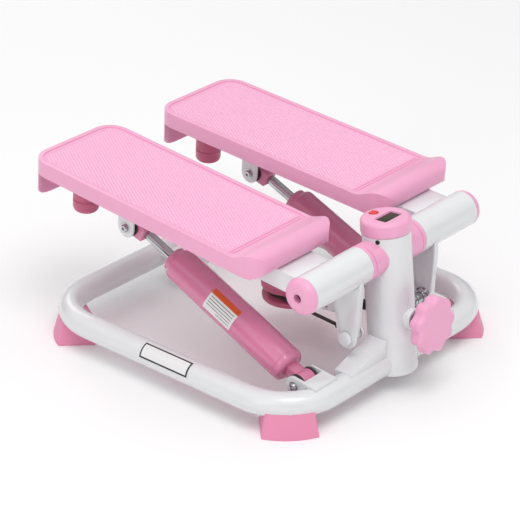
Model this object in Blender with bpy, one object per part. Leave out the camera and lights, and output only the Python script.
"""Mini stepper with a rope-coupled pair of pedals and two hydraulic cylinders.

Metres, +Z up, floor at z = 0.  The post and the knob are at the front (-Y), the user stands
on the pedals from the rear (+Y), and X is across.  Both pedals turn about one axle through
the post.
"""

from math import asin, atan2, cos, hypot, pi, radians, sin, tan

import bmesh
import bpy
from mathutils import Matrix, Vector

# ---------------------------------------------------------------- driving dimensions
GAP = 0.0003            # between pieces that touch
SLIP = 0.0005           # between pieces that turn or slide on each other
EDGE = 0.003            # shoulder or edge round of a turned or cut piece
FINE_EDGE = 0.0015      # break of a small or sharp edge
HEAD_RATIO = 1.6        # head of a small pin over its shank

# base loop of bent tube
TUBE_R = 0.016
TUBE_WALL = 0.002
LOOP_HALF_X = 0.193
LOOP_HALF_Y = 0.203
LOOP_BEND_INSIDE = 0.0540
LOOP_CORNER = LOOP_BEND_INSIDE + TUBE_R
LOOP_Z = 0.036
VENT_R = 0.004

# rubber feet
FOOT_TOP = 0.0340
FOOT_BOTTOM_HALF = 0.0345
FOOT_TOP_HALF = 0.0290
FOOT_OUTER_SKIRT = 0.0080
FOOT_INNER_SKIRT = 0.0140
FOOT_TOP_INSET = 0.0020

# post
LEAN = radians(5.4)
POST_R = 0.030
POST_WALL = 0.002
POST_AHEAD = 0.002        # of the front tube, where the post's axis meets the floor
POST_Y = -LOOP_HALF_Y - POST_AHEAD
POST_BOTTOM = 0.025
POST_TOP = 0.204

# axle, sleeves and bushes
PIVOT_BACK = 0.019        # behind the foot of the post's axis
PIVOT_Y = POST_Y + PIVOT_BACK
PIVOT_Z = 0.175
AXLE_R = 0.008
SLEEVE_R = 0.023
SLEEVE_WALL = 0.0025
SLEEVE_IN = 0.0510
SLEEVE_OUT = 0.1530
RING_LENGTH = 0.0060
BUSH_ROOT = 0.012
PLUG_LENGTH = 0.0140
CAP_LENGTH = 0.0115
CAP_HOLE_R = 0.0050

# pedals, in their own frame: s along the pedal from the axle, h up from the axle
PEDAL_TILT = radians(3.9)      # both pedals level with each other
REST_SWING = radians(0.7)      # left pedal up by this much at rest, right pedal down
PEDAL_X = 0.1145
PLATE_HALF = 0.072
PLATE_FRONT = 0.0415
PLATE_REAR = 0.421
PLATE_TOP = 0.0285
PLATE_SKIN = 0.0035
PLATE_SKIRT = 0.0200
PLATE_CORNER = 0.027
RIDGE_RISE = 0.0105
RIDGE_DEPTH = 0.0460
NOSE_R = 0.0145
APRON_DEPTH = 0.060
APRON_CORNER = 0.034
APRON_DEPTH_S = 0.012
RIM_WIDTH = 0.0060
RECESS = 0.0012
RIB = 0.004
RIB_FIRST = 0.110       # the first rib's place along the pedal
RIB_PITCH = 0.130

# arm under each pedal
ARM_HALF = 0.031
ARM_TOP = 0.012
ARM_HEIGHT = 0.025
ARM_WALL = 0.002
ARM_REAR = 0.412

# bumper under the rear of each arm
BUMPER_S = 0.391
BUMPER_R = 0.0170
BUMPER_LENGTH = 0.0480
BUMPER_ROUND = 0.005

# lever that hangs from each sleeve to the rope
LEVER_X = 0.0735
LEVER_PLATE = 0.003
LEVER_LENGTH = 0.0880
LEVER_TILT = radians(-6.0)
LEVER_TOP_HALF = 0.0215
LEVER_END_R = 0.014
LEVER_FLANGE = 0.007
BOLT_R = 0.005
BOLT_HEAD_R = 0.0090
BOLT_HEAD = 0.0055
NUT_R = 0.0095
NUT_LENGTH = 0.0070
WASHER_R = 0.0115
WASHER = 0.0015
EYE_R = 0.0080
EYE_LENGTH = 0.0090
BOLT_TAIL = 0.004

# cylinders: they stand side by side at the same place under each pedal
CYLINDER_SHIFT = -0.0170
LOW_PIN_GAP = 0.001       # behind a tube's width from the front tube's axis
LOW_PIN_Y = 2 * TUBE_R + LOW_PIN_GAP - LOOP_HALF_Y
LOW_PIN_Z = 0.046
HIGH_PIN_S = 0.2875
HIGH_PIN_H = -0.0314
CYLINDER_R = 0.0222
CYLINDER_WALL = 0.0030
CYLINDER_START = 0.0235
CYLINDER_LENGTH = 0.1990
COLLAR_R = 0.0165
COLLAR_LENGTH = 0.0080
ROD_R = 0.0065
PISTON_LENGTH = 0.012
ROD_INSIDE = 0.090
ROD_END_R = 0.0125
ROD_END_LENGTH = 0.022
EYE_WIDTH = 0.0200
PIN_R = 0.0040
PIN_CLEARANCE = 0.0030
PIN_HEAD_R = 0.0065
PIN_HEAD = 0.0040
CLEVIS_INSIDE = 0.0320
CLEVIS_PLATE = 0.0030
CLEVIS_HALF = 0.0130
CLEVIS_BACK = 0.022

# console on the post
CONSOLE_LIP = 0.0012
CONSOLE_R = POST_R + CONSOLE_LIP
CONSOLE_HEIGHT = 0.0175
CONSOLE_SKIN = 0.0025
CONSOLE_DISH = 0.0010
CONSOLE_ROUND = 0.0050
LCD_X = 0.0320
LCD_Y = 0.0185
LCD_SHIFT = -0.004
BUTTON_R = 0.0055
BUTTON_SHIFT = 0.0185
BUTTON_HEIGHT = 0.0060
BUTTON_TRAVEL = 0.0012
BUTTON_PROUD = 0.0022
MODULE_DEPTH = 0.0080

# drive line: adjusting screw, carriage and pulley, square to the post
DRIVE_Z = 0.0945
SCREW_R = 0.0065
SCREW_BACK = 0.0940
BOSS_R = 0.0135
BOSS_LENGTH = 0.0080
BOSS_ROOT = 0.009
COLLAR_GAP = 0.0094
KNOB_R = 0.0365
KNOB_LOBE = 0.0025
KNOB_LOBES = 9
KNOB_DEPTH = 0.0185
KNOB_ROUND = 0.0035
HUB_R = 0.0130
HUB_LENGTH = 0.0060
PULLEY_BACK = 0.1470
PULLEY_R = 0.047
PULLEY_HALF = 0.0120
GROOVE_R = 0.0370
GROOVE_HALF = 0.0045
ROPE_R = 0.0024
PULLEY_PIN_R = 0.006
CARRIAGE_HALF = 0.0135
CARRIAGE_PLATE = 0.003
CARRIAGE_REACH = 0.0220
CARRIAGE_NUT = 0.0120

# plates on the base loop
GUSSET_GAPS = {"left": 0.0185, "right": 0.0045}     # from its end to the cylinder's bracket
GUSSET_RISE = 0.021
GUSSET_HALF = 0.0130
GUSSET_PLATE = 0.0025
BRACE_HALF = 0.0300
BRACE_SHIFT = 0.0280
BRACE_REACH = 0.0420
BRACE_PLATE = 0.003

# facets on round shapes
ROUND = 24
FINE = 36
SMALL = 12
LOOP_FACETS = 16

SIDES = (("left", -1.0), ("right", 1.0))

# colour, roughness and metallic of each finish
FINISHES = {
    "white_coat": ((0.86, 0.87, 0.88), 0.30, 0.0),
    "pink_plastic": ((0.93, 0.48, 0.66), 0.45, 0.0),
    "pink_cylinder": ((0.80, 0.28, 0.46), 0.35, 0.0),
    "pink_rubber": ((0.86, 0.38, 0.56), 0.70, 0.0),
    "chrome": ((0.80, 0.80, 0.82), 0.15, 1.0),
    "dark_steel": ((0.10, 0.09, 0.09), 0.45, 0.8),
    "red_plastic": ((0.85, 0.06, 0.05), 0.35, 0.0),
    "lcd_glass": ((0.08, 0.08, 0.05), 0.15, 0.0),
    "circuit": ((0.05, 0.22, 0.12), 0.50, 0.0),
}


# ---------------------------------------------------------------- building helpers
def clear_scene():
    """Remove every object, mesh, curve and material that the file holds."""
    for obj in list(bpy.data.objects):
        bpy.data.objects.remove(obj, do_unlink=True)
    for store in (bpy.data.meshes, bpy.data.curves, bpy.data.materials):
        for block in list(store):
            store.remove(block)


def finish(name):
    """Material of one finish, made once."""
    if name in bpy.data.materials:
        return bpy.data.materials[name]
    colour, roughness, metallic = FINISHES[name]
    material = bpy.data.materials.new(name)
    material.use_nodes = True
    shader = material.node_tree.nodes["Principled BSDF"]
    shader.inputs["Base Color"].default_value = (*colour, 1.0)
    shader.inputs["Roughness"].default_value = roughness
    shader.inputs["Metallic"].default_value = metallic
    return material


def empty(name, place, tilt=0.0, parent=None):
    """Frame for pieces that share an axis: a tilt about X at a place."""
    obj = bpy.data.objects.new(name, None)
    obj.location = place
    obj.rotation_euler = (tilt, 0.0, 0.0)
    obj.parent = parent
    bpy.context.scene.collection.objects.link(obj)
    return obj


def add(name, mesh, material, place=(0.0, 0.0, 0.0), parent=None, tilt=0.0):
    """Object of a bmesh, shaded smooth except over sharp edges."""
    data = bpy.data.meshes.new(name)
    bmesh.ops.recalc_face_normals(mesh, faces=mesh.faces)
    mesh.to_mesh(data)
    mesh.free()
    data.shade_smooth()
    data.set_sharp_from_angle(angle=radians(35.0))
    obj = bpy.data.objects.new(name, data)
    obj.location = place
    obj.rotation_euler = (tilt, 0.0, 0.0)
    obj.parent = parent
    if material:
        data.materials.append(finish(material))
    bpy.context.scene.collection.objects.link(obj)
    return obj


def cutter(name, mesh, place=(0.0, 0.0, 0.0), parent=None, tilt=0.0):
    """Hidden object that Booleans cut with."""
    obj = add(name, mesh, None, place, parent, tilt)
    obj.hide_render = True
    obj.display_type = "WIRE"
    return obj


def boolean(obj, other, operation="DIFFERENCE"):
    """Boolean of an object with another one, kept as a modifier."""
    modifier = obj.modifiers.new(other.name, "BOOLEAN")
    modifier.operation = operation
    modifier.solver = "EXACT"
    modifier.object = other


def turned(profile, steps=ROUND, axis="Z", closed=False):
    """Revolve (radius, height) points; a closed profile makes a ring."""
    mesh = bmesh.new()
    verts = [mesh.verts.new((radius, 0.0, height)) for radius, height in profile]
    edges = [mesh.edges.new(pair) for pair in zip(verts, verts[1:])]
    if closed:
        edges.append(mesh.edges.new((verts[-1], verts[0])))
    bmesh.ops.spin(mesh, geom=verts + edges, cent=(0.0, 0.0, 0.0), axis=(0.0, 0.0, 1.0),
                   angle=2.0 * pi, steps=steps, use_merge=True)
    bmesh.ops.remove_doubles(mesh, verts=mesh.verts, dist=1e-6)
    turn = {"Z": Matrix.Identity(3), "X": Matrix.Rotation(pi / 2, 3, "Y"),
            "Y": Matrix.Rotation(-pi / 2, 3, "X")}[axis]
    bmesh.ops.transform(mesh, matrix=turn.to_4x4(), verts=mesh.verts)
    return mesh


def rod(radius, start, end, steps=ROUND, axis="Z"):
    """Plain round bar between two stations of an axis."""
    return turned([(0.0, start), (radius, start), (radius, end), (0.0, end)], steps, axis)


def pipe(outer, inner, start, end, steps=ROUND, axis="Z"):
    """Round tube between two stations of an axis."""
    profile = [(outer, start), (outer, end), (inner, end), (inner, start)]
    return turned(profile, steps, axis, closed=True)


def prism(outline, start, end, axis="X"):
    """Extrude a closed outline of (u, v) points along an axis.

    X takes (y, z) outlines, Y takes (x, z) outlines and Z takes (x, y) outlines.
    """
    place = {"X": lambda u, v, w: (w, u, v), "Y": lambda u, v, w: (u, w, v),
             "Z": lambda u, v, w: (u, v, w)}[axis]
    mesh = bmesh.new()
    face = mesh.faces.new([mesh.verts.new(place(u, v, start)) for u, v in outline])
    grown = bmesh.ops.extrude_face_region(mesh, geom=[face])
    moved = [item for item in grown["geom"] if isinstance(item, bmesh.types.BMVert)]
    bmesh.ops.translate(mesh, vec=place(0.0, 0.0, end - start), verts=moved)
    return mesh


def block(low, high):
    """Box between two corners."""
    outline = [(low[0], low[1]), (high[0], low[1]), (high[0], high[1]), (low[0], high[1])]
    return prism(outline, low[2], high[2], "Z")


def arc(centre, radius, start, end, steps):
    """Points of an arc, angles in degrees, both ends included."""
    return [(centre[0] + radius * cos(radians(start + (end - start) * k / steps)),
             centre[1] + radius * sin(radians(start + (end - start) * k / steps)))
            for k in range(steps + 1)]


def rounded_outline(low, high, radii, steps=6):
    """Rectangle with its own radius at each corner, from the lower left, counter-clockwise."""
    corners = ((low[0], low[1], 1, 1), (high[0], low[1], -1, 1),
               (high[0], high[1], -1, -1), (low[0], high[1], 1, -1))
    points = []
    for index, (x, y, across, up) in enumerate(corners):
        radius = radii[index]
        centre = (x + across * radius, y + up * radius)
        start = 180.0 + 90.0 * index
        points += arc(centre, radius, start, start + 90.0, steps)
    return points


def loop_outline(grow=0.0, steps=6):
    """Centre line of the base loop in plan, or an offset of it."""
    half_x = LOOP_HALF_X + grow
    half_y = LOOP_HALF_Y + grow
    return rounded_outline((-half_x, -half_y), (half_x, half_y), [LOOP_CORNER + grow] * 4, steps)


def swept_loop(radius, steps):
    """Closed tube of a radius along the centre line of the base loop."""
    path = loop_outline()
    count = len(path)
    mesh = bmesh.new()
    rings = []
    for index, (x, y) in enumerate(path):
        before = Vector(path[index - 1])
        after = Vector(path[(index + 1) % count])
        along = (after - before).normalized()
        out = Vector((along.y, -along.x))
        ring = []
        for k in range(steps):
            turn = 2.0 * pi * k / steps
            side = radius * cos(turn)
            ring.append(mesh.verts.new((x + out.x * side, y + out.y * side,
                                        LOOP_Z + radius * sin(turn))))
        rings.append(ring)
    for index, ring in enumerate(rings):
        following = rings[(index + 1) % count]
        for k in range(steps):
            nxt = (k + 1) % steps
            mesh.faces.new((ring[k], following[k], following[nxt], ring[nxt]))
    return mesh


def swept(points, radius, steps):
    """Closed round bar along an open line of points."""
    mesh = bmesh.new()
    rings = []
    for index, point in enumerate(points):
        before = Vector(points[max(index - 1, 0)])
        after = Vector(points[min(index + 1, len(points) - 1)])
        along = (after - before).normalized()
        side = along.cross(Vector((0.0, 0.0, 1.0))).normalized()
        up = side.cross(along)
        rings.append([mesh.verts.new(Vector(point) + radius * (cos(2 * pi * k / steps) * side
                                                                + sin(2 * pi * k / steps) * up))
                      for k in range(steps)])
    for ring, following in zip(rings, rings[1:]):
        for k in range(steps):
            nxt = (k + 1) % steps
            mesh.faces.new((ring[k], following[k], following[nxt], ring[nxt]))
    mesh.faces.new(rings[0])
    mesh.faces.new(rings[-1])
    return mesh


def pedal_tilt(sign):
    """Tilt of a pedal at rest, rear up: -1 is the left pedal and 1 the right one."""
    return PEDAL_TILT - sign * REST_SWING


def pedal_point(s, h, tilt):
    """World (y, z) of a point of a pedal's own frame."""
    return (PIVOT_Y + s * cos(tilt) - h * sin(tilt),
            PIVOT_Z + s * sin(tilt) + h * cos(tilt))


def post_axis_y(z):
    """World y of the post's axis at a height."""
    return POST_Y + z * tan(LEAN)


# ---------------------------------------------------------------- base
def build_base():
    """Hollow bent tube, welded into a loop, with a vent hole on its inner side."""
    frame = add("base_frame", swept_loop(TUBE_R, LOOP_FACETS), "white_coat")
    bore = cutter("base_bore", swept_loop(TUBE_R - TUBE_WALL, LOOP_FACETS // 2))
    inside_y = LOOP_HALF_Y - TUBE_R - TUBE_WALL
    vent = cutter("base_vent", rod(VENT_R, inside_y - TUBE_WALL, LOOP_HALF_Y, SMALL, "Y"),
                  (-LOOP_HALF_X / 2, 0.0, LOOP_Z))
    boolean(frame, bore)
    boolean(frame, vent)
    return cutter("base_seat", swept_loop(TUBE_R + GAP, LOOP_FACETS))


def foot_outline(half, outward, inward):
    """Plan of a foot, with +Y along the diagonal out of the corner."""
    outer = LOOP_CORNER + TUBE_R + outward
    inner = LOOP_CORNER - TUBE_R - inward
    spread = asin(half / outer)
    spread_degrees = spread * 180.0 / pi
    points = arc((0.0, 0.0), outer, 90.0 - spread_degrees, 90.0 + spread_degrees, 8)
    return points + [(-half, inner), (half, inner)]


def build_feet(seat):
    """Four saddle-shaped rubber feet under the corners of the loop."""
    for row, y_sign in (("front", -1.0), ("rear", 1.0)):
        for side, x_sign in SIDES:
            mesh = bmesh.new()
            levels = ((FOOT_BOTTOM_HALF, FOOT_OUTER_SKIRT, FOOT_INNER_SKIRT, 0.0),
                      (FOOT_TOP_HALF, -FOOT_TOP_INSET, -FOOT_TOP_INSET, FOOT_TOP))
            rings = [[mesh.verts.new((x, y, z)) for x, y in foot_outline(half, outward, inward)]
                     for half, outward, inward, z in levels]
            for k in range(len(rings[0])):
                nxt = (k + 1) % len(rings[0])
                mesh.faces.new((rings[0][k], rings[0][nxt], rings[1][nxt], rings[1][k]))
            mesh.faces.new(rings[0])
            mesh.faces.new(rings[1])
            diagonal = atan2(y_sign, x_sign) - pi / 2
            bmesh.ops.rotate(mesh, cent=(0.0, 0.0, 0.0), verts=mesh.verts,
                             matrix=Matrix.Rotation(diagonal, 3, "Z"))
            centre = (x_sign * (LOOP_HALF_X - LOOP_CORNER), y_sign * (LOOP_HALF_Y - LOOP_CORNER), 0.0)
            foot = add(f"foot_{row}_{side}", mesh, "pink_rubber", centre)
            boolean(foot, seat)


def build_post(seat):
    """Leaning tube over the front of the loop, with holes for the axle and the screw."""
    post_frame = empty("post_axis", (0.0, POST_Y, 0.0), -LEAN)
    post = add("post", pipe(POST_R, POST_R - POST_WALL, POST_BOTTOM, POST_TOP, FINE), "white_coat",
               parent=post_frame)
    boolean(post, seat)
    boolean(post, cutter("post_axle_hole", rod(AXLE_R + GAP, -POST_R - GAP, POST_R + GAP, ROUND, "X"),
                         (0.0, PIVOT_Y, PIVOT_Z)))
    return post_frame, post


def cylinder_x(pedal_x):
    """Place across of a pedal's cylinder."""
    return pedal_x + CYLINDER_SHIFT


def build_gussets(seat):
    """Folded triangular plates between the post and the front tube."""
    for side, sign in SIDES:
        start = POST_R - POST_WALL
        bracket = abs(cylinder_x(sign * PEDAL_X)) - CLEVIS_INSIDE / 2 - CLEVIS_PLATE
        end = bracket - GUSSET_GAPS[side]
        low = LOOP_Z + TUBE_R / 2
        top = LOOP_Z + TUBE_R + GUSSET_RISE
        y = post_axis_y(LOOP_Z + TUBE_R)
        outline = [(start, low), (end, low), (end, LOOP_Z + TUBE_R), (start + EDGE, top), (start, top)]
        outline = [(sign * x, z) for x, z in outline]
        gusset = add(f"gusset_{side}", prism(outline, y - GUSSET_HALF, y + GUSSET_HALF, "Y"),
                     "white_coat")
        hollow = [(start - GUSSET_PLATE, low - GUSSET_PLATE),
                  (end - 2.5 * GUSSET_PLATE, low - GUSSET_PLATE),
                  (end - 2.5 * GUSSET_PLATE, LOOP_Z + TUBE_R - 0.5 * GUSSET_PLATE),
                  (start - GUSSET_PLATE, top - 1.5 * GUSSET_PLATE)]
        hollow = [(sign * x, z) for x, z in hollow]
        boolean(gusset, cutter(f"gusset_{side}_hollow",
                               prism(hollow, y - GUSSET_HALF + GUSSET_PLATE,
                                     y + GUSSET_HALF - GUSSET_PLATE, "Y")))
        boolean(gusset, seat)
        boolean(gusset, bpy.data.objects["post_seat"])


def build_brace(seat):
    """Short folded plate on the inner side of the rear tube."""
    back = LOOP_HALF_Y
    front = LOOP_HALF_Y - TUBE_R - BRACE_REACH
    top = LOOP_Z + TUBE_R / 2
    low = LOOP_Z - TUBE_R / 2
    outline = [(front, low), (front + BRACE_PLATE, low), (front + BRACE_PLATE, top - BRACE_PLATE),
               (back, top - BRACE_PLATE), (back, top), (front, top)]
    brace = add("rear_brace", prism(outline, BRACE_SHIFT - BRACE_HALF, BRACE_SHIFT + BRACE_HALF),
                "white_coat")
    boolean(brace, seat)


def build_low_clevis(side, x, seat):
    """U bracket on the front tube that carries the cylinder's lower eye."""
    half = CLEVIS_INSIDE / 2 + CLEVIS_PLATE
    back = LOW_PIN_Y - CLEVIS_BACK - CLEVIS_HALF
    ear = arc((LOW_PIN_Y, LOW_PIN_Z), CLEVIS_HALF, -50.0, 110.0, 12)
    ear += [(back, LOOP_Z + TUBE_R + CLEVIS_PLATE), (back, LOOP_Z)]
    clevis = add(f"lower_clevis_{side}", prism(ear, x - half, x + half), "white_coat")
    web = back + CLEVIS_BACK - CLEVIS_PLATE / 2
    slot = block((x - CLEVIS_INSIDE / 2, web, 0.0),
                 (x + CLEVIS_INSIDE / 2, LOW_PIN_Y + 2 * CLEVIS_HALF, LOW_PIN_Z + 2 * CLEVIS_HALF))
    boolean(clevis, cutter(f"lower_clevis_{side}_slot", slot))
    boolean(clevis, cutter(f"lower_clevis_{side}_hole",
                           rod(PIN_R + GAP, x - half - GAP, x + half + GAP, SMALL, "X"),
                           (0.0, LOW_PIN_Y, LOW_PIN_Z)))
    boolean(clevis, seat)


def pin(name, x, place, parent=None, turn=0.0):
    """Clevis bolt: head outside, nut on the other end."""
    half = CLEVIS_INSIDE / 2 + CLEVIS_PLATE + GAP
    profile = [(0.0, x - half - PIN_HEAD), (PIN_HEAD_R, x - half - PIN_HEAD), (PIN_HEAD_R, x - half),
               (PIN_R, x - half), (PIN_R, x + half), (PIN_HEAD_R, x + half),
               (PIN_HEAD_R, x + half + PIN_HEAD), (0.0, x + half + PIN_HEAD)]
    return add(name, turned(profile, SMALL, "X"), "chrome", place, parent, turn)


def build_axle():
    """Solid axle through the post, shared by both sleeves."""
    end = SLEEVE_OUT - PLUG_LENGTH / 2
    add("pivot_axle", rod(AXLE_R, -end, end, ROUND, "X"), "chrome", (0.0, PIVOT_Y, PIVOT_Z))


def build_bushes():
    """Fixed spacers between the post and the sleeves, coped to the post."""
    for side, sign in SIDES:
        inner_end = BUSH_ROOT
        outer_end = SLEEVE_IN - RING_LENGTH - SLIP
        stations = sorted((sign * inner_end, sign * outer_end))
        bush = add(f"bush_{side}", pipe(SLEEVE_R, AXLE_R + GAP, stations[0], stations[1], ROUND, "X"),
                   "pink_plastic", (0.0, PIVOT_Y, PIVOT_Z))
        boolean(bush, bpy.data.objects["post_seat"])


def build_console(post_frame):
    """Housing, counter module, display window and reset button on top of the post."""
    low = POST_TOP + GAP
    top = low + CONSOLE_HEIGHT
    inner_r = CONSOLE_R - CONSOLE_SKIN
    profile = [(0.0, top - CONSOLE_DISH)]
    profile += [(CONSOLE_R - CONSOLE_ROUND + x, top - CONSOLE_ROUND + z)
                for x, z in arc((0.0, 0.0), CONSOLE_ROUND, 90.0, 0.0, 5)]
    profile += [(CONSOLE_R, low), (inner_r, low), (inner_r, top - CONSOLE_SKIN),
                (0.0, top - CONSOLE_SKIN)]
    housing = add("console_housing", turned(profile, FINE), "pink_plastic",
                  parent=post_frame)
    window_low = (-LCD_X / 2, LCD_SHIFT - LCD_Y / 2, low)
    window_high = (LCD_X / 2, LCD_SHIFT + LCD_Y / 2, top + CONSOLE_SKIN)
    boolean(housing, cutter("console_window", block(window_low, window_high), parent=post_frame))
    boolean(housing, cutter("console_button_hole", rod(BUTTON_R + SLIP, low, top + CONSOLE_SKIN, SMALL),
                            (0.0, BUTTON_SHIFT, 0.0), post_frame))
    face = top - CONSOLE_SKIN
    add("lcd_window", block((-LCD_X / 2 + GAP, LCD_SHIFT - LCD_Y / 2 + GAP, face - CONSOLE_SKIN / 2),
                            (LCD_X / 2 - GAP, LCD_SHIFT + LCD_Y / 2 - GAP, face + CONSOLE_SKIN / 2)),
        "lcd_glass", parent=post_frame)
    module_top = face - CONSOLE_SKIN / 2 - GAP
    button_low = module_top - BUTTON_HEIGHT / 2
    module = add("counter_module",
                 rod(inner_r - GAP, module_top - MODULE_DEPTH, module_top, ROUND), "circuit",
                 parent=post_frame)
    boolean(module, cutter("module_button_well", rod(BUTTON_R + SLIP, button_low, top, SMALL),
                           (0.0, BUTTON_SHIFT, 0.0), post_frame))
    button = [(0.0, button_low + BUTTON_TRAVEL), (BUTTON_R, button_low + BUTTON_TRAVEL), (BUTTON_R, top)]
    button += [(BUTTON_R * cos(radians(a)), top + BUTTON_PROUD * sin(radians(a)))
               for a in (30.0, 60.0, 90.0)]
    add("reset_button", turned(button, SMALL), "red_plastic", (0.0, BUTTON_SHIFT, 0.0), post_frame)


def build_drive(post):
    """Boss, adjusting screw, knob, carriage, pulley and rope along the tilted drive line."""
    back_y = post_axis_y(DRIVE_Z)
    line = empty("drive_line", (0.0, back_y, DRIVE_Z), -LEAN)
    face = -POST_R
    hole = cutter("post_screw_hole", rod(SCREW_R + SLIP, face - GAP, POST_R + GAP, SMALL, "Y"),
                  parent=line)
    boolean(post, hole)
    boss = add("screw_boss", pipe(BOSS_R, SCREW_R + SLIP, face - BOSS_LENGTH, face + BOSS_ROOT,
                                  ROUND, "Y"), "white_coat", parent=line)
    boolean(boss, bpy.data.objects["post_seat"])
    collar = face - BOSS_LENGTH - GAP
    screw = [(0.0, SCREW_BACK), (SCREW_R, SCREW_BACK), (SCREW_R, collar), (BOLT_HEAD_R, collar),
             (BOLT_HEAD_R, collar - COLLAR_GAP), (0.0, collar - COLLAR_GAP)]
    add("adjusting_screw", turned(screw, ROUND, "Y"), "dark_steel", parent=line)
    build_knob(line, collar - COLLAR_GAP - GAP)
    build_carriage(line)


def build_knob(line, back):
    """Lobed hand knob with a hub behind it."""
    front = back - HUB_LENGTH - KNOB_DEPTH
    steps = KNOB_LOBES * 8
    mesh = bmesh.new()
    levels = ((back - HUB_LENGTH, 1.0 - KNOB_ROUND / KNOB_R), (back - HUB_LENGTH - KNOB_ROUND, 1.0),
              (front + KNOB_ROUND, 1.0), (front, 1.0 - 1.2 * KNOB_ROUND / KNOB_R))
    rings = []
    for y, scale in levels:
        rings.append([])
        for k in range(steps):
            turn = 2.0 * pi * k / steps
            radius = scale * (KNOB_R - KNOB_LOBE + KNOB_LOBE * cos(KNOB_LOBES * turn))
            rings[-1].append(mesh.verts.new((radius * cos(turn), y, radius * sin(turn))))
    hub = [[mesh.verts.new((HUB_R * cos(2 * pi * k / steps), y, HUB_R * sin(2 * pi * k / steps)))
            for k in range(steps)] for y in (back, back - HUB_LENGTH)]
    rings = hub + rings
    for ring, following in zip(rings, rings[1:]):
        for k in range(steps):
            nxt = (k + 1) % steps
            mesh.faces.new((ring[k], following[k], following[nxt], ring[nxt]))
    mesh.faces.new(rings[0])
    mesh.faces.new(rings[-1])
    add("adjusting_knob", mesh, "pink_plastic", parent=line)


def build_carriage(line):
    """Forked carriage with its nut, the pulley, its pin and the rope round it."""
    centre = PULLEY_BACK
    reach = PULLEY_R + CARRIAGE_REACH
    inside = PULLEY_HALF + SLIP
    outside = inside + CARRIAGE_PLATE
    tail = arc((0.0, centre), CARRIAGE_HALF, 0.0, 180.0, 10)
    plan = tail + [(-CARRIAGE_HALF, centre - reach), (CARRIAGE_HALF, centre - reach)]
    carriage = add("pulley_carriage", prism(plan, -outside, outside, "Z"), "white_coat", parent=line)
    web = centre - reach + CARRIAGE_NUT
    boolean(carriage, cutter("carriage_slot", block(
        (-2 * CARRIAGE_HALF, web, -inside), (2 * CARRIAGE_HALF, centre + PULLEY_R, inside)),
        parent=line))
    boolean(carriage, cutter("carriage_thread", rod(SCREW_R + SLIP, centre - reach - GAP, web + GAP,
                                                    SMALL, "Y"), parent=line))
    boolean(carriage, cutter("carriage_pin_hole", rod(PULLEY_PIN_R + GAP, -outside - GAP, outside + GAP,
                                                      ROUND), (0.0, centre, 0.0), line))
    head = outside + GAP
    pin_profile = [(0.0, -head - EDGE), (PULLEY_PIN_R * HEAD_RATIO, -head - EDGE), (PULLEY_PIN_R * HEAD_RATIO, -head),
                   (PULLEY_PIN_R, -head), (PULLEY_PIN_R, head), (PULLEY_PIN_R * HEAD_RATIO, head),
                   (PULLEY_PIN_R * HEAD_RATIO, head + EDGE), (0.0, head + EDGE)]
    add("pulley_pin", turned(pin_profile), "chrome", (0.0, centre, 0.0), line)
    lip = PULLEY_HALF - 0.003
    profile = [(PULLEY_PIN_R + SLIP, -PULLEY_HALF), (PULLEY_R - EDGE, -PULLEY_HALF),
               (PULLEY_R, -lip), (PULLEY_R, -GROOVE_HALF - FINE_EDGE), (GROOVE_R, -GROOVE_HALF + FINE_EDGE),
               (GROOVE_R, GROOVE_HALF - FINE_EDGE), (PULLEY_R, GROOVE_HALF + FINE_EDGE), (PULLEY_R, lip),
               (PULLEY_R - EDGE, PULLEY_HALF), (PULLEY_PIN_R + SLIP, PULLEY_HALF)]
    add("pulley", turned(profile, FINE, closed=True), "pink_plastic", (0.0, centre, 0.0), line)
    build_rope(line, centre)


def build_rope(line, centre):
    """Rope: a half turn round the pulley and a run to each lever."""
    turn_r = GROOVE_R + GAP + ROPE_R
    around = [(x, y, 0.0) for x, y in arc((0.0, centre), turn_r, 0.0, 180.0, 24)]
    add("rope_turn", swept(around, ROPE_R, 10), "dark_steel", parent=line)
    for side, sign in SIDES:
        eye_y, eye_z = lever_bolt(sign)
        reach = line.matrix_basis.inverted() @ Vector((sign * rope_eye_x(), eye_y, eye_z))
        start = Vector((sign * turn_r, centre - GAP, 0.0))
        stop = reach + (start - reach).normalized() * (EYE_R + GAP)
        add(f"rope_run_{side}", swept([tuple(start), tuple(stop)], ROPE_R, 10), "dark_steel",
            parent=line)


def lever_bolt(sign):
    """World (y, z) of a lever's bolt at rest."""
    turn = pedal_tilt(sign) + LEVER_TILT
    return PIVOT_Y + LEVER_LENGTH * sin(turn), PIVOT_Z - LEVER_LENGTH * cos(turn)


def rope_eye_x():
    """Place across of the rope's eyes: inside the lever's washer and nut."""
    return LEVER_X - LEVER_PLATE / 2 - GAP - WASHER - NUT_LENGTH - GAP - EYE_LENGTH / 2


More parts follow.
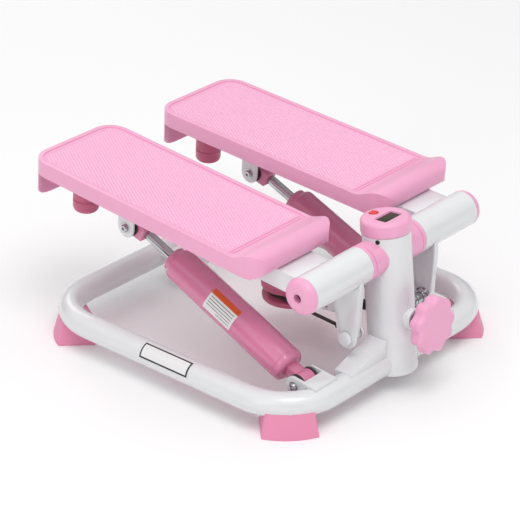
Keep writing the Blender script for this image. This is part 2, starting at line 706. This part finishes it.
# ---------------------------------------------------------------- pedals
def build_sleeve(side, sign, axis):
    """Sleeve tube on the axle with its inner ring and its outer cap."""
    bore = SLEEVE_R - SLEEVE_WALL
    low, high = sorted((sign * SLEEVE_IN, sign * SLEEVE_OUT))
    add(f"sleeve_{side}", pipe(SLEEVE_R, bore, low, high, ROUND, "X"), "white_coat", parent=axis)
    flange = SLEEVE_IN - GAP
    plug = bore - GAP
    ring = [(AXLE_R + SLIP, flange - RING_LENGTH), (SLEEVE_R, flange - RING_LENGTH), (SLEEVE_R, flange),
            (plug, flange), (plug, flange + PLUG_LENGTH), (AXLE_R + SLIP, flange + PLUG_LENGTH)]
    add(f"sleeve_ring_{side}", turned([(r, sign * x) for r, x in ring], ROUND, "X", closed=True),
        "pink_plastic", parent=axis)
    seat = SLEEVE_OUT + GAP
    inner = seat - PLUG_LENGTH
    end = seat + CAP_LENGTH
    cap = [(AXLE_R + SLIP, inner), (plug, inner), (plug, seat), (SLEEVE_R, seat)]
    cap += [(SLEEVE_R - CAP_LENGTH * (1 - cos(radians(a))), seat + CAP_LENGTH * sin(radians(a)))
            for a in (30.0, 60.0, 85.0)]
    cap += [(CAP_HOLE_R, end), (CAP_HOLE_R, seat), (AXLE_R + SLIP, seat)]
    add(f"sleeve_cap_{side}", turned([(r, sign * x) for r, x in cap], ROUND, "X", closed=True),
        "pink_plastic", parent=axis)


def build_arm(side, x, axis):
    """Rectangular tube under the pedal, coped to the sleeve."""
    low = ARM_TOP - ARM_HEIGHT
    arm = add(f"arm_{side}", block((x - ARM_HALF, 0.0, low), (x + ARM_HALF, ARM_REAR, ARM_TOP)),
              "white_coat", parent=axis)
    hollow = block((x - ARM_HALF + ARM_WALL, -ARM_WALL, low + ARM_WALL),
                   (x + ARM_HALF - ARM_WALL, ARM_REAR + ARM_WALL, ARM_TOP - ARM_WALL))
    boolean(arm, cutter(f"arm_{side}_hollow", hollow, parent=axis))
    boolean(arm, cutter(f"arm_{side}_cope", rod(SLEEVE_R + GAP, x - PLATE_HALF, x + PLATE_HALF, FINE, "X"),
                        parent=axis))


def build_bumper(side, x, axis):
    """Round rubber bumper under the rear of the arm."""
    top = ARM_TOP - ARM_HEIGHT - GAP
    low = top - BUMPER_LENGTH
    profile = [(0.0, low)]
    profile += [(BUMPER_R - BUMPER_ROUND + r, low + BUMPER_ROUND + h)
                for r, h in arc((0.0, 0.0), BUMPER_ROUND, -90.0, 0.0, 4)]
    profile += [(BUMPER_R, top), (0.0, top)]
    add(f"bumper_{side}", turned(profile), "pink_rubber", (x, BUMPER_S, 0.0), axis)


def ridge_outline():
    """Side outline (s, h) of a pedal: skirt, round nose, front ridge, top and rear apron."""
    skirt = PLATE_TOP - PLATE_SKIRT
    crest = PLATE_TOP + RIDGE_RISE
    crown = PLATE_FRONT + NOSE_R
    nose = [(crown, skirt)] + arc((crown, crest - NOSE_R), NOSE_R, 270.0, 90.0, 10)
    slope = RIDGE_DEPTH - NOSE_R
    fall = [(crown + slope * k / 5, crest - RIDGE_RISE * (1 - cos(pi * k / 5)) / 2)
            for k in range(1, 6)]
    apron = PLATE_TOP - APRON_DEPTH
    return nose + fall + [(PLATE_REAR, PLATE_TOP), (PLATE_REAR, apron),
                          (PLATE_REAR - APRON_DEPTH_S, apron), (PLATE_REAR - APRON_DEPTH_S, skirt)]


def build_footplate(side, x, axis):
    """Moulded pedal: textured field in a rim, front ridge, skirt, rear apron and ribs."""
    skirt = PLATE_TOP - PLATE_SKIRT
    apron = PLATE_TOP - APRON_DEPTH
    crest = PLATE_TOP + RIDGE_RISE
    name = f"footplate_{side}"
    plate = add(name, prism(ridge_outline(), x - PLATE_HALF, x + PLATE_HALF), "pink_plastic",
                parent=axis)
    plan = rounded_outline((x - PLATE_HALF, PLATE_FRONT), (x + PLATE_HALF, PLATE_REAR),
                           [PLATE_CORNER] * 4, 6)
    boolean(plate, cutter(f"{name}_plan", prism(plan, apron - GAP, crest + GAP, "Z"), parent=axis),
            "INTERSECT")
    face = rounded_outline((x - PLATE_HALF, apron), (x + PLATE_HALF, crest + 2 * GAP),
                           [APRON_CORNER, APRON_CORNER, GAP, GAP], 6)
    boolean(plate, cutter(f"{name}_face", prism(face, 0.0, PLATE_REAR + GAP, "Y"), parent=axis),
            "INTERSECT")
    skin = PLATE_SKIN
    inner = rounded_outline((x - PLATE_HALF + skin, PLATE_FRONT + NOSE_R + skin),
                            (x + PLATE_HALF - skin, PLATE_REAR - skin),
                            [PLATE_CORNER - skin] * 4, 6)
    boolean(plate, cutter(f"{name}_pocket", prism(inner, apron - skin, PLATE_TOP - RECESS - skin, "Z"),
                          parent=axis))
    notch = block((x - ARM_HALF - GAP, PLATE_FRONT - GAP, skirt - GAP),
                  (x + ARM_HALF + GAP, PLATE_FRONT + NOSE_R + 2 * skin, ARM_TOP + GAP))
    boolean(plate, cutter(f"{name}_notch", notch, parent=axis))
    field = rounded_outline((x - PLATE_HALF + RIM_WIDTH, PLATE_FRONT + RIDGE_DEPTH),
                            (x + PLATE_HALF - RIM_WIDTH, PLATE_REAR - RIM_WIDTH),
                            [EDGE, EDGE, PLATE_CORNER - RIM_WIDTH, PLATE_CORNER - RIM_WIDTH], 6)
    boolean(plate, cutter(f"{name}_field", prism(field, PLATE_TOP - RECESS, crest + skin, "Z"),
                          parent=axis))
    rib_top = PLATE_TOP - RECESS - skin / 2
    for number in range(int((PLATE_REAR - skin - RIB - RIB_FIRST) / RIB_PITCH) + 1):
        s = RIB_FIRST + number * RIB_PITCH
        rib = block((x - PLATE_HALF + skin / 2, s - RIB / 2, ARM_TOP + GAP),
                    (x + PLATE_HALF - skin / 2, s + RIB / 2, rib_top))
        boolean(plate, cutter(f"{name}_rib_{number}", rib, parent=axis), "UNION")


def build_high_clevis(side, x, axis):
    """U bracket under the arm that carries the cylinder's upper pin."""
    half = CLEVIS_INSIDE / 2 + CLEVIS_PLATE
    top = ARM_TOP - ARM_HEIGHT - GAP
    ear = arc((HIGH_PIN_S, HIGH_PIN_H), CLEVIS_HALF, 180.0, 360.0, 12)
    ear += [(HIGH_PIN_S + CLEVIS_HALF, top), (HIGH_PIN_S - CLEVIS_HALF, top)]
    clevis = add(f"upper_clevis_{side}", prism(ear, x - half, x + half), "white_coat", parent=axis)
    slot = block((x - CLEVIS_INSIDE / 2, HIGH_PIN_S - 2 * CLEVIS_HALF, HIGH_PIN_H - 2 * CLEVIS_HALF),
                 (x + CLEVIS_INSIDE / 2, HIGH_PIN_S + 2 * CLEVIS_HALF, top - CLEVIS_PLATE))
    boolean(clevis, cutter(f"upper_clevis_{side}_slot", slot, parent=axis))
    boolean(clevis, cutter(f"upper_clevis_{side}_hole",
                           rod(PIN_R + GAP, x - half - GAP, x + half + GAP, SMALL, "X"),
                           (0.0, HIGH_PIN_S, HIGH_PIN_H), axis))


def build_lever(side, sign, axis):
    """Plate with a folded front edge, its bolt, washer and nut, and the rope's eye."""
    outline = arc((0.0, -LEVER_LENGTH), LEVER_END_R, 180.0, 360.0, 10)
    outline += [(LEVER_TOP_HALF, -SLEEVE_R), (LEVER_TOP_HALF, 0.0),
                (-LEVER_TOP_HALF, 0.0), (-LEVER_TOP_HALF, -SLEEVE_R)]
    outer = LEVER_X + LEVER_PLATE / 2
    inner = LEVER_X - LEVER_PLATE / 2
    stations = sorted((sign * outer, sign * inner))
    lever = add(f"lever_{side}", prism(outline, *stations), "white_coat", parent=axis, tilt=LEVER_TILT)
    fold = [(-LEVER_TOP_HALF, 0.0), (-LEVER_TOP_HALF, -SLEEVE_R), (-LEVER_END_R, -LEVER_LENGTH + EDGE),
            (-LEVER_END_R + LEVER_PLATE, -LEVER_LENGTH + EDGE),
            (-LEVER_TOP_HALF + LEVER_PLATE, -SLEEVE_R), (-LEVER_TOP_HALF + LEVER_PLATE, 0.0)]
    stations = sorted((sign * (outer - GAP), sign * (outer - LEVER_FLANGE)))
    boolean(lever, cutter(f"lever_{side}_fold", prism(fold, *stations), parent=axis, tilt=LEVER_TILT),
            "UNION")
    stations = sorted((sign * (inner - LEVER_FLANGE), sign * (outer + LEVER_FLANGE)))
    boolean(lever, cutter(f"lever_{side}_cope", rod(SLEEVE_R + GAP, *stations, FINE, "X"), parent=axis))
    bolt_frame = empty(f"lever_bolt_{side}_place",
                       (0.0, LEVER_LENGTH * sin(LEVER_TILT), -LEVER_LENGTH * cos(LEVER_TILT)),
                       LEVER_TILT, axis)
    boolean(lever, cutter(f"lever_{side}_hole", rod(BOLT_R + GAP, *stations, SMALL, "X"),
                          parent=bolt_frame))
    build_lever_bolt(side, sign, bolt_frame, outer, inner)


def build_lever_bolt(side, sign, place, outer, inner):
    """Bolt through the lever with washer, nut and the rope's eye on its inner end."""
    nut_end = inner - GAP - WASHER - NUT_LENGTH
    eye_end = nut_end - GAP - EYE_LENGTH
    head = outer + GAP
    tail = eye_end - GAP
    bolt = [(0.0, head + BOLT_HEAD), (BOLT_HEAD_R, head + BOLT_HEAD), (BOLT_HEAD_R, head),
            (BOLT_R, head), (BOLT_R, tail), (EYE_R * 0.9, tail), (EYE_R * 0.9, tail - BOLT_TAIL),
            (0.0, tail - BOLT_TAIL)]
    add(f"lever_bolt_{side}", turned([(r, sign * x) for r, x in bolt], SMALL, "X"), "chrome",
        parent=place)
    nut = [(BOLT_R + GAP, nut_end), (NUT_R, nut_end), (NUT_R, nut_end + NUT_LENGTH),
           (WASHER_R, nut_end + NUT_LENGTH), (WASHER_R, inner - GAP), (BOLT_R + GAP, inner - GAP)]
    add(f"lever_nut_{side}", turned([(r, sign * x) for r, x in nut], 18, "X", closed=True), "chrome",
        parent=place)
    stations = sorted((sign * eye_end, sign * (nut_end - GAP)))
    add(f"rope_eye_{side}", pipe(EYE_R, BOLT_R + GAP, *stations, SMALL, "X"), "dark_steel",
        parent=place)


# ---------------------------------------------------------------- cylinders
def build_cylinder(side, x, tilt):
    """Hydraulic cylinder, its rod and its rod end, lined up from the lower pin to the upper one."""
    high_y, high_z = pedal_point(HIGH_PIN_S, HIGH_PIN_H, tilt)
    run = hypot(high_y - LOW_PIN_Y, high_z - LOW_PIN_Z)
    rise = atan2(high_z - LOW_PIN_Z, high_y - LOW_PIN_Y)
    axis = empty(f"cylinder_{side}_axis", (x, LOW_PIN_Y, LOW_PIN_Z), rise)
    start = CYLINDER_START
    end = start + CYLINDER_LENGTH
    inner = CYLINDER_R - CYLINDER_WALL
    neck = ROD_R + SLIP
    profile = [(0.0, start), (CYLINDER_R - EDGE, start), (CYLINDER_R, start + 2 * EDGE),
               (CYLINDER_R, end - EDGE), (CYLINDER_R - FINE_EDGE, end), (COLLAR_R, end),
               (COLLAR_R, end + COLLAR_LENGTH), (neck, end + COLLAR_LENGTH),
               (neck, end - CYLINDER_WALL), (inner, end - CYLINDER_WALL),
               (inner, start + 2 * CYLINDER_WALL), (0.0, start + 2 * CYLINDER_WALL)]
    cylinder = add(f"cylinder_{side}", turned(profile, ROUND, "Y"), "pink_cylinder", parent=axis)
    eye = arc((0.0, 0.0), CLEVIS_HALF - FINE_EDGE, 90.0, 270.0, 12)
    eye += [(start + CYLINDER_WALL, -CLEVIS_HALF + EDGE), (start + CYLINDER_WALL, CLEVIS_HALF - EDGE)]
    boolean(cylinder, cutter(f"cylinder_{side}_eye", prism(eye, -EYE_WIDTH / 2, EYE_WIDTH / 2),
                             parent=axis), "UNION")
    boolean(cylinder, cutter(f"cylinder_{side}_bore",
                             rod(PIN_R + SLIP, -EYE_WIDTH, EYE_WIDTH, SMALL, "X"), parent=axis))
    shank = run - ROD_END_LENGTH
    piston = end - ROD_INSIDE
    rod_profile = [(0.0, piston), (inner - SLIP, piston), (inner - SLIP, piston + PISTON_LENGTH),
                   (ROD_R, piston + PISTON_LENGTH), (ROD_R, shank), (0.0, shank)]
    add(f"rod_{side}", turned(rod_profile, ROUND, "Y"), "chrome", parent=axis)
    end_outline = arc((run, 0.0), ROD_END_R, -90.0, 90.0, 10)
    end_outline += [(shank + GAP, ROD_END_R - EDGE), (shank + GAP, -ROD_END_R + EDGE)]
    rod_end = add(f"rod_end_{side}", prism(end_outline, -EYE_WIDTH / 2, EYE_WIDTH / 2), "pink_plastic",
                  parent=axis)
    boolean(rod_end, cutter(f"rod_end_{side}_bore",
                            rod(PIN_R + PIN_CLEARANCE, -EYE_WIDTH, EYE_WIDTH, SMALL, "X"),
                            (0.0, run, 0.0), axis))


def centre_lengthwise():
    """Put the middle of the overall length, knob to plate ends, over the origin."""
    bpy.context.view_layer.update()
    solids = [obj for obj in bpy.data.objects if obj.type == "MESH" and not obj.hide_render]
    graph = bpy.context.evaluated_depsgraph_get()
    depths = []
    for obj in solids:
        whole = obj.evaluated_get(graph)
        depths += [(obj.matrix_world @ vert.co).y for vert in whole.data.vertices]
    middle = (min(depths) + max(depths)) / 2
    for obj in bpy.data.objects:
        if obj.parent is None:
            obj.location.y -= middle
    bpy.context.view_layer.update()


def build():
    """Build the whole stepper."""
    clear_scene()
    seat = build_base()
    build_feet(seat)
    post_frame, post = build_post(seat)
    cutter("post_seat", rod(POST_R + GAP, 0.0, POST_TOP + GAP, FINE), parent=post_frame)
    build_gussets(seat)
    build_brace(seat)
    build_axle()
    build_bushes()
    build_console(post_frame)
    build_drive(post)
    for side, sign in SIDES:
        x = sign * PEDAL_X
        tilt = pedal_tilt(sign)
        axis = empty(f"pedal_{side}_axis", (0.0, PIVOT_Y, PIVOT_Z), tilt)
        build_sleeve(side, sign, axis)
        build_arm(side, x, axis)
        build_bumper(side, x, axis)
        build_footplate(side, x, axis)
        build_high_clevis(side, cylinder_x(x), axis)
        pin(f"upper_pin_{side}", cylinder_x(x), (0.0, HIGH_PIN_S, HIGH_PIN_H), axis)
        build_lever(side, sign, axis)
        build_low_clevis(side, cylinder_x(x), seat)
        pin(f"lower_pin_{side}", cylinder_x(x), (0.0, LOW_PIN_Y, LOW_PIN_Z))
        build_cylinder(side, cylinder_x(x), tilt)
    centre_lengthwise()


build()
